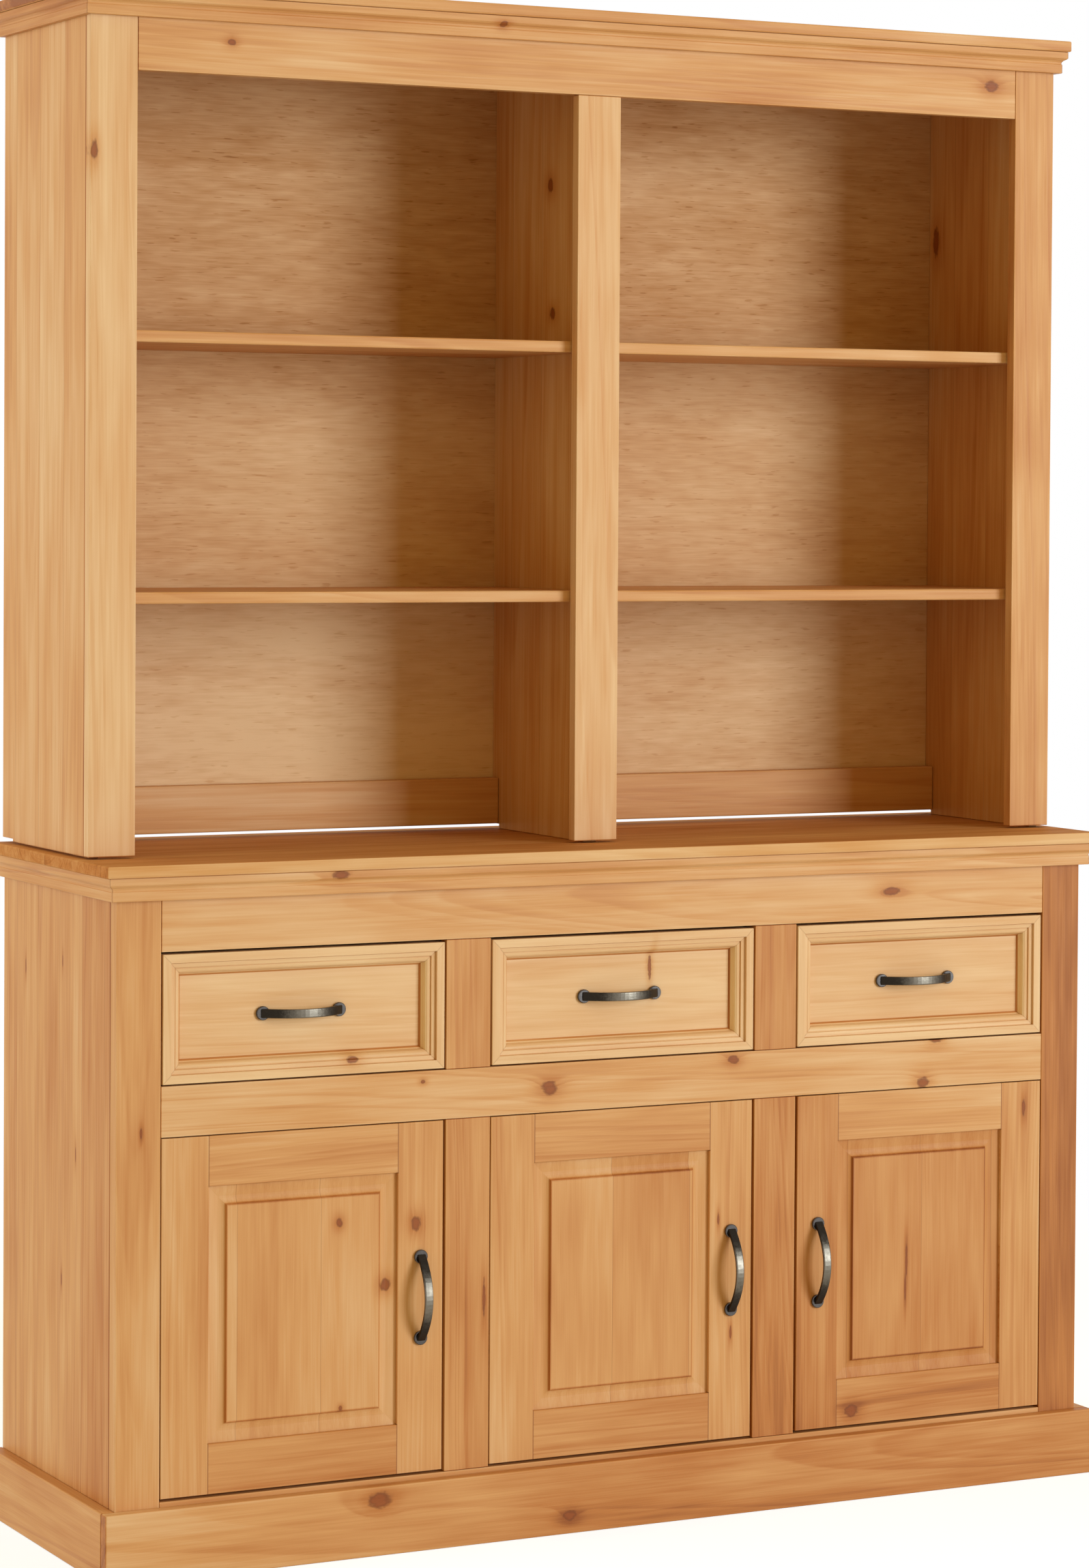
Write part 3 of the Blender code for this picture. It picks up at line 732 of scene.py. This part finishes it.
def drawer_front(spot, node):
    """The lay of a panel in a mitred frame, with painted shade at the foot of the frame's inner wall and
    painted light on its right-hand inner wall.
    """
    middle = middle_of(node)
    beside = spot["X"] - middle["X"]
    above = spot["Z"] - middle["Z"]
    from_side = inside_by(spot, node, "X")
    from_end = inside_by(spot, node, "Z")
    nearest = from_side.math("MINIMUM", from_end)
    in_frame = nearest.math("LESS_THAN", MOULDED_FRAME)
    upright = in_frame * from_side.math("LESS_THAN", from_end)
    mitre = line_at(from_side, from_end, 0.0011, 0.0003)
    foot = line_at(nearest, FOOT_OF_WALL, 0.0014, 0.0005)
    wall = step(from_side, *WALL_END) * step(from_side, *WALL_START)
    painted_light_wall = wall * beside.math("GREATER_THAN", 0.0)
    return {
        "across": choose(upright, above, beside),
        "through": spot["Y"] - middle["Y"],
        "along": choose(upright, beside, above),
        "part": in_frame * choose(upright, above.math("SIGN") + 4.0, beside.math("SIGN") + 9.0),
        "seam": mitre * in_frame * 0.25,
        # Painted shade at the foot of the inner wall, and painted light on the right-hand inner wall.
        "stain": FOOT_SHADE * foot - WALL_PAINTED_LIGHT * painted_light_wall * upright,
    }


front_knots = {1: [(-0.3556, 0.5811, 0.0060, 0.0035)], 2: [(0.0420, 0.6700, 0.0020, 0.0120)], 3: []}
for number in (1, 2, 3):
    knots = front_knots[number]
    pine(f"drawer_front_{number}", drawer_front, 0.33, (0.03, 0.03), (0.02, 0.04), knots, calm=0.8)
print("drawer fronts dressed")

# %% [markdown]
# ## Drawer boxes
# The boxes were left bare, because a waxed drawer would mark what lies in it. They are the palest
# wood here. The grain of each wall runs along that wall, so a point near a side turns its grain.

# %% Bare boxes
WALL = 0.0125


def tray(spot, node):
    """The lay of a drawer box: two side walls, and the front, back and bottom between them."""
    middle = middle_of(node)
    beside = spot["X"] - middle["X"]
    side_wall = inside_by(spot, node, "X").math("LESS_THAN", WALL)
    return {
        "across": spot["Z"] - middle["Z"],
        "through": choose(side_wall, spot["Y"] - middle["Y"], beside),
        "along": choose(side_wall, beside, spot["Y"]),
        "part": side_wall * (beside.math("SIGN") + 3.0),
        "seam": None,
    }


for number in (1, 2, 3):
    pine(f"drawer_box_{number}", tray, 0.22, (0.03, 0.05), (0.02, 0.04), calm=0.8)
print("drawer boxes dressed")

# %% [markdown]
# ## Veneered back panels
# The backs are thin plywood. Veneer is peeled off a log in one long sheet, so it shows no ring
# lines but a fuzzy, cloudy figure with short dark pores, all lying level.

# %% Veneer
VENEER = [
    (0.00, paint(228, 191, 148)),
    (0.40, paint(209, 163, 118)),
    (0.70, paint(189, 137, 88)),
    (1.00, paint(152, 96, 50)),
]
VENEER_CLOUD, VENEER_FIGURE, VENEER_MOTTLE = 0.62, 0.36, 0.34
VENEER_THREAD, VENEER_PORES = 0.34, 0.22
# How much painted shade darkens the back high up, and how much painted light lightens it low down and at
# the lower left.
PAINTED_SHADE_ABOVE, PAINTED_LIGHT_BELOW, PAINTED_LIGHT_LOWER_LEFT = 0.16, 0.10, 0.20


def veneer(node, tone):
    """Gives one CAD node a plywood face. It is painted darker high in the hutch, as shade under its top,
    and painted lighter low down, most to the left, as painted light.
    """
    material, shade = new_finish(node)
    place = shade.node("TexCoord", output="Object")
    cloud = noise(place, (3.0, 3.0, 11.0), tone, 2.0)
    figure = noise(place, (9.0, 9.0, 60.0), tone + 4.0, 2.0)
    mottle = noise(place, (26.0, 26.0, 110.0), tone + 6.0, 1.0)
    thread = noise(place, (30.0, 30.0, 700.0), tone + 8.0, 1.0)
    pores = step(noise(place, (45.0, 45.0, 420.0), tone + 2.0, 1.0), 0.66, 0.74)
    spot = spot_of(shade)
    # Painted shade darkens the back high in the hutch, and painted light lightens it low down, most to
    # the left.
    high = PAINTED_SHADE_ABOVE * step(spot["Z"], 1.30, 1.50)
    low = step(spot["Z"], 1.15, 1.05) * (PAINTED_LIGHT_BELOW + PAINTED_LIGHT_LOWER_LEFT * step(spot["X"], 0.1, -0.1))
    dark = tone + VENEER_CLOUD * (cloud - 0.5) + VENEER_FIGURE * (figure - 0.5)
    dark = dark + VENEER_THREAD * (thread - 0.5) + VENEER_PORES * pores
    dark = dark + VENEER_MOTTLE * (mottle - 0.5) + high - low
    colour = shade.node("ValToRGB", {"stops": VENEER}, {0: dark})
    join_finish(colour, 0.55 + 0.2 * (thread - 0.5), thread, 0.08)
    dress(node, material)


veneer("hutch_back_panel", 0.37)
veneer("base_back_panel", 0.50)
print("back panels dressed")

# %% [markdown]
# ## Pewter handles
# The bow handles are cast in a dark brown-grey metal. The front of each bow's middle is lighter,
# partly worn bright by hands and partly a painted highlight, and the round feet are a flat grey.
# Brush marks run along the bow, and they are drawn as a noise that is long on that axis.

# %% Handles
DARK_PEWTER = paint(46, 40, 33)
WORN_HIGHLIGHT_PEWTER = paint(112, 103, 90)
FOOT_PEWTER = paint(92, 86, 83)


def pewter(node, along):
    """Gives one handle its metal. It points along one axis and stands out towards the front."""
    material, shade = new_finish(node)
    middle, half = middle_of(node), half_of(node)
    spot = spot_of(shade)
    place = shade.node("TexCoord", output="Object")
    from_middle = ((spot[along] - middle[along]) * (1 / half[along])).math("ABSOLUTE")
    # 0 where the feet meet the wood, and 1 at the front of the bow.
    out = (middle["Y"] + half["Y"] - spot["Y"]) * (0.5 / half["Y"])
    scale = tuple(60.0 if axis == along else 1600.0 for axis in AXES)
    brush = noise(place, scale, 0.0, 2.0)
    patina = noise(place, (240.0, 240.0, 240.0), 2.0, 2.0)
    # Lighter at the front of the bow's middle: wear from hands, and a painted highlight.
    worn_highlight_mask = step(out, 0.25, 0.95) * step(from_middle, 0.85, 0.0)
    worn_highlight = worn_highlight_mask + 0.6 * (brush - 0.5) + 0.5 * (patina - 0.5)
    colour = blend(step(worn_highlight, 0.0, 1.0), DARK_PEWTER, WORN_HIGHLIGHT_PEWTER)
    colour = blend(step(out, 0.16, 0.12), colour, FOOT_PEWTER)
    roughness = 0.36 + 0.3 * (patina - 0.5) + 0.2 * (brush - 0.5)
    join_finish(colour, roughness, brush, shine=0.5, metallic=1.0, bump=0.25, depth=0.0002)
    dress(node, material)


for number in (1, 2, 3):
    pewter(f"drawer_handle_{number}", "X")
    pewter(f"door_handle_{number}", "Z")
print("six handles dressed")

# %% [markdown]
# ## Plated hinges
# The hinges stay out of sight until a door opens. They are pressed steel with a bright nickel
# plating, a little cloudy from handling.

# %% Hinges
BRIGHT_PLATE = paint(198, 196, 190)
DULL_PLATE = paint(160, 158, 152)


def plated(node):
    """Gives one hinge its plating."""
    material, shade = new_finish(node)
    place = shade.node("TexCoord", output="Object")
    cloudy = noise(place, (150.0, 150.0, 150.0), 0.0, 2.0)
    scratch = noise(place, (900.0, 900.0, 60.0), 1.0, 1.0)
    colour = blend(cloudy, BRIGHT_PLATE, DULL_PLATE)
    roughness = 0.26 + 0.3 * (cloudy - 0.5)
    join_finish(colour, roughness, scratch, shine=0.5, metallic=1.0, bump=0.05, depth=0.0001)
    dress(node, material)


for number in (1, 2, 3):
    for level in ("upper", "lower"):
        plated(f"door_hinge_{level}_{number}")
print("hinges dressed")

# %% [markdown]
# ## The floor
# The dresser stands on a plain pale floor that runs out to white. A glow that only the camera and
# mirror rays see lifts the floor to white without lighting the wood, and the shadow under
# the plinth stays.

# %% Floor
FLOOR_SIZE = 14.0
GLOW_COLOUR, GLOW = (0.76, 0.87, 1, 1), 0.68
WHITE_FROM, ALL_WHITE = 1.2, 2.6


def pale_floor(size):
    """A square sheet at height 0, reaching out by size on every side."""
    mesh = bpy.data.meshes.new("floor")
    corners = [(-size, -size, 0), (size, -size, 0), (size, size, 0), (-size, size, 0)]
    mesh.from_pydata(corners, [], [(0, 1, 2, 3)])
    floor = bpy.data.objects.new("floor", mesh)
    bpy.context.scene.collection.objects.link(floor)
    return floor


def seen_directly(shade):
    """1 for camera, mirror and glass rays, and 0 for the light that surfaces give each other."""
    path = shade.node("LightPath", output="Is Camera Ray")
    mirror = path.other("Is Glossy Ray")
    glass = path.other("Is Transmission Ray")
    return path.math("MAXIMUM", mirror.math("MAXIMUM", glass))


floor = pale_floor(FLOOR_SIZE)
material, shade = new_finish("pale floor")
tree = material.node_tree
spot = spot_of(shade)
distance = (spot["X"] * spot["X"] + spot["Y"] * spot["Y"]).math("SQRT")
speckle = noise(shade.node("TexCoord", output="Object"), (40.0, 40.0, 40.0), 0.0, 2.0)
pale = blend(speckle, paint(222, 230, 240), paint(226, 234, 244))
ground = shade.node("BsdfDiffuse", {}, {"Color": pale})
glow = shade.node("Emission", {}, {"Color": GLOW_COLOUR, "Strength": GLOW})
both = shade.node("AddShader", {}, {0: ground, 1: glow})
white = shade.node("Emission", {}, {"Color": (1, 1, 1, 1), "Strength": 1.0})
near = shade.node("MixShader", {}, {0: step(distance, WHITE_FROM, ALL_WHITE), 1: both, 2: white})
seen = shade.node("MixShader", {}, {0: seen_directly(shade), 1: ground, 2: near})
tree.links.new(seen.output, tree.nodes["Material Output"].inputs["Surface"])
floor.data.materials.append(material)
print("floor laid")

# %% [markdown]
# ## Studio light
# One large soft lamp stands to the right of the front, so the open compartments darken
# towards their right-hand walls. A second lamp on the left lights the side panel. The rest is
# light that has come off the wood once already, so it is warm. The powers are balanced so that
# a colour shows about as it is written.

# %% Lamps and surround
LAMP_COLOUR = (0.77, 0.89, 1.0)
FILL_COLOUR, FILL = (1.0, 0.72, 0.21, 1), 0.59


def soft_lamp(name, at, towards, size, power):
    """A rectangular lamp at one point, facing another."""
    lamp = bpy.data.lights.new(name, "AREA")
    lamp.shape = "RECTANGLE"
    lamp.size, lamp.size_y = size
    lamp.energy = power
    lamp.color = LAMP_COLOUR
    holder = bpy.data.objects.new(name, lamp)
    holder.location = at
    holder.rotation_euler = (Vector(towards) - Vector(at)).to_track_quat("-Z", "Y").to_euler()
    bpy.context.scene.collection.objects.link(holder)


soft_lamp("key lamp", (4.70, -7.60, 2.10), (0, 0, 0.95), (3.1, 4.2), 578)
soft_lamp("side lamp", (-6.00, 0.90, 1.60), (-0.6, 0, 0.9), (2.8, 3.8), 184)

world = bpy.data.worlds.new("white surround")
bpy.context.scene.world = world
world.use_nodes = True
surround = Shade(world.node_tree)
fill = surround.node("Background", {}, {"Color": FILL_COLOUR, "Strength": FILL})
backdrop = surround.node("Background", {}, {"Color": (1, 1, 1, 1), "Strength": 1.0})
sky = surround.node("MixShader", {}, {0: seen_directly(surround), 1: fill, 2: backdrop})
world.node_tree.links.new(sky.output, world.node_tree.nodes["World Output"].inputs["Surface"])
print("lamps:", [light.name for light in bpy.data.lights])

# %% [markdown]
# ## The camera
# The picture was taken from the left with upright lines kept upright, which a level lens with a
# little shift does. Its place was found by matching about two hundred points of the boards.

# %% Camera
FITTED_PLACE = (-2.39630, -4.77665, 1.22880)
FITTED_TURN = (27.791, -1.293, 0.37)


def turned(yaw, pitch, roll):
    """A camera's turn from its heading to the left, its tilt up and its lean."""
    heading, tilt, lean = (math.radians(angle) for angle in (yaw, pitch, roll))
    reach = math.cos(tilt)
    forward = Vector((math.sin(heading) * reach, math.cos(heading) * reach, math.sin(tilt)))
    level = Vector((math.cos(heading), -math.sin(heading), 0.0))
    rise = level.cross(forward)
    right = level * math.cos(lean) + rise * math.sin(lean)
    up = rise * math.cos(lean) - level * math.sin(lean)
    return Matrix((right, up, -forward)).transposed()


lens = bpy.data.cameras.new("camera")
lens.lens = 99.107
lens.sensor_width = 36.0
lens.shift_x = -0.0661
lens.shift_y = -0.1150
camera = bpy.data.objects.new("camera", lens)
camera.matrix_world = Matrix.Translation(FITTED_PLACE) @ turned(*FITTED_TURN).to_4x4()
bpy.context.scene.collection.objects.link(camera)
bpy.context.scene.camera = camera
bpy.context.scene.view_settings.view_transform = "Standard"
print("camera at", camera.location[:])

# %% [markdown]
# ## Sizes
# Finishes must not change a single dimension.
